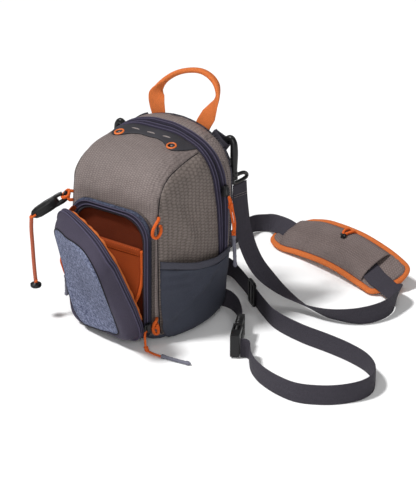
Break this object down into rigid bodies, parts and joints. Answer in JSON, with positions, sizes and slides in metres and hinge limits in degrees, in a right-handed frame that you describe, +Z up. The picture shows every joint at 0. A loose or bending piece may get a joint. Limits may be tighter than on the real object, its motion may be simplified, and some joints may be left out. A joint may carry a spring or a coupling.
{
  "type": "chest pack",
  "caption": "Upright fabric chest pack with a domed zip compartment, fold-down front pocket lid, side pockets, carry handle, padded shoulder strap and buckled waist strap.",
  "frame": {"origin": "centre of the pack's flat bottom, on the surface it stands on", "axes": "+X to the right as seen from the front, -Y out of the front pocket, +Z up"},
  "size_m": [0.4576, 0.4779, 0.3023],
  "materials": {
    "shell_fabric": "matte ripstop",
    "side_fabric": "matte ripstop",
    "base_fabric": "matte",
    "back_mesh": "matte",
    "zip_tape": "matte",
    "trim_fabric": "matte",
    "lid_face": "heather",
    "lid_band": "matte",
    "lining": "matte",
    "docking": "coated",
    "eyelet": "satin",
    "orange_cord": "braided",
    "orange_binding": "woven",
    "handle_web": "woven",
    "webbing": "woven",
    "hardware": "satin",
    "slider": "satin",
    "pull_tip": "matte",
    "pad_foam": "matte"
  },
  "bodies": {
    "root": {"front_panel": "shell_fabric", "rear_gusset": "shell_fabric", "pad_sleeve": "shell_fabric", "side_panel_right": "side_fabric", "side_panel_left": "side_fabric", "base_panel": "base_fabric", "side_pocket_right": "base_fabric", "side_pocket_left": "base_fabric", "back_panel": "back_mesh", "main_zip": "zip_tape", "pocket_zip": "zip_tape", "lid_zip": "zip_tape", "pocket_rim": "trim_fabric", "pocket_hem_right": "trim_fabric", "pocket_hem_left": "trim_fabric", "lid_face": "lid_face", "lid_band": "lid_band", "pocket_lining": "lining", "lid_lining": "lining", "slip_pocket": "lining", "docking_strip": "docking", "eyelet_right": "eyelet", "eyelet_left": "eyelet", "loop_upper_right": "orange_cord", "loop_lower_right": "orange_cord", "loop_lower_left": "orange_cord", "loop_upper_left": "orange_cord", "tippet_cord": "orange_cord", "pad_loop": "orange_cord", "main_pull": "orange_cord", "pocket_pull_right": "orange_cord", "pocket_pull_left": "orange_cord", "slip_binding": "orange_binding", "pad_binding": "orange_binding", "carry_handle": "handle_web", "strap_tab_right": "webbing", "strap_tab_left": "webbing", "shoulder_strap": "webbing", "waist_strap_long": "webbing", "waist_strap_short": "webbing", "tippet_clip": "hardware", "tippet_stop": "hardware", "snap_hook_right": "hardware", "snap_hook_left": "hardware", "swivel_loop_right": "hardware", "swivel_loop_left": "hardware", "buckle_female": "hardware", "buckle_male": "hardware", "ladder_lock": "hardware", "main_slider": "slider", "pocket_slider_right": "slider", "pocket_slider_left": "slider", "main_pull_tip": "pull_tip", "pocket_tip_right": "pull_tip", "pocket_tip_left": "pull_tip", "shoulder_pad": "pad_foam"}
  },
  "joints": []
}
